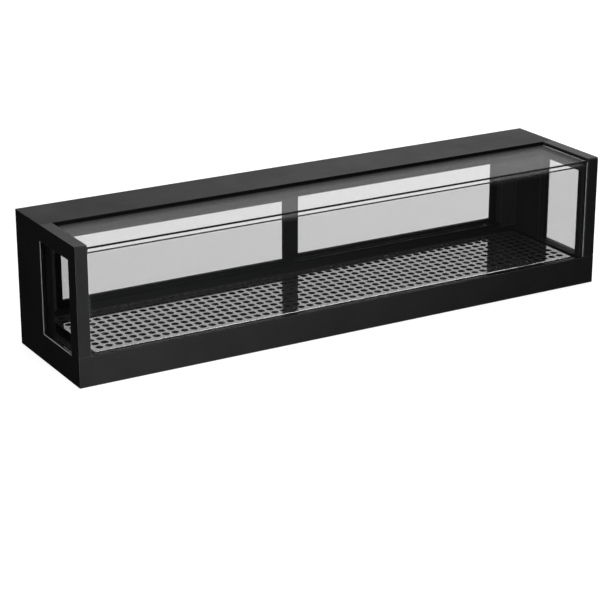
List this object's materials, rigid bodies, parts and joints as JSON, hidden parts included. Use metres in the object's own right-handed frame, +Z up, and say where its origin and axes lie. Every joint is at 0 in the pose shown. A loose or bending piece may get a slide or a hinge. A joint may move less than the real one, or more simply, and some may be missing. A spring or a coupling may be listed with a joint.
{
  "type": "countertop glass display case",
  "caption": "Long countertop glass display case: double-glazed front, roof and ends, perforated steel deck over a chilled tub, insulated black cheeks and rear sliding doors.",
  "frame": {"origin": "centre of the footprint, on the plane the rubber feet stand on", "axes": "+X along the length to the customer's right, +Y to the rear with the sliding doors, +Z up"},
  "size_m": [1.5, 0.346, 0.348],
  "materials": {
    "black_steel": "satin",
    "foam": "matte",
    "glass": "polished",
    "clear_acrylic": "gloss",
    "black_aluminium": "satin",
    "black_rubber": "matte",
    "black_silicone": "satin",
    "clear_silicone": "satin",
    "black_spacer": "gloss",
    "polished_stainless": "polished",
    "stainless": "satin",
    "copper": "satin",
    "nylon": "matte",
    "grey_plastic": "matte"
  },
  "bodies": {
    "cabinet": {"base_core": "foam", "base_pan": "black_steel", "cheek_joint_seals": "clear_silicone", "clear_corner_spacers": "clear_acrylic", "corner_seal_lower": "black_silicone", "corner_seal_upper": "black_silicone", "deck_bearers": "stainless", "door_stops": "black_rubber", "drain_outlet": "grey_plastic", "evaporator_coil": "copper", "front_fascia": "black_steel", "front_glass_channel": "black_aluminium", "front_pane_inner": "glass", "front_pane_outer": "glass", "front_spacer_bar": "black_spacer", "glass_setting_strip": "black_rubber", "head_track": "black_aluminium", "jamb_seals": "black_rubber", "left_cheek_core": "foam", "left_cheek_liner": "black_steel", "left_cheek_shell": "black_steel", "left_rear_column": "black_steel", "left_side_pane_inner": "glass", "left_side_pane_outer": "glass", "left_side_spacer": "black_spacer", "left_window_sleeve": "black_steel", "perforated_deck": "polished_stainless", "pipe_grommets": "black_rubber", "rear_header_panel": "black_steel", "rear_lower_panel": "black_steel", "rear_screws": "stainless", "right_cheek_core": "foam", "right_cheek_liner": "black_steel", "right_cheek_shell": "black_steel", "right_rear_column": "black_steel", "right_side_pane_inner": "glass", "right_side_pane_outer": "glass", "right_side_spacer": "black_spacer", "right_window_sleeve": "black_steel", "roof_core": "foam", "roof_liner": "black_steel", "roof_pane_inner": "glass", "roof_pane_outer": "glass", "roof_spacer_bar": "black_spacer", "rubber_feet": "black_rubber", "sill_track": "black_aluminium", "top_panel": "black_steel", "tub_liner": "black_steel"},
    "left_door": {"left_door_frame": "black_aluminium", "left_door_glass": "glass", "left_door_gasket": "black_rubber", "left_door_glides": "nylon", "left_door_pull": "black_aluminium", "meeting_seal": "black_rubber"},
    "right_door": {"right_door_frame": "black_aluminium", "right_door_glass": "glass", "right_door_gasket": "black_rubber", "right_door_glides": "nylon", "right_door_pull": "black_aluminium"}
  },
  "joints": [
    {"name": "left_door_slide", "type": "slide", "parent": "cabinet", "child": "left_door", "axis": [1, 0, 0], "range_m": [0, 0.62]},
    {"name": "right_door_slide", "type": "slide", "parent": "cabinet", "child": "right_door", "axis": [-1, 0, 0], "range_m": [0, 0.62]}
  ]
}
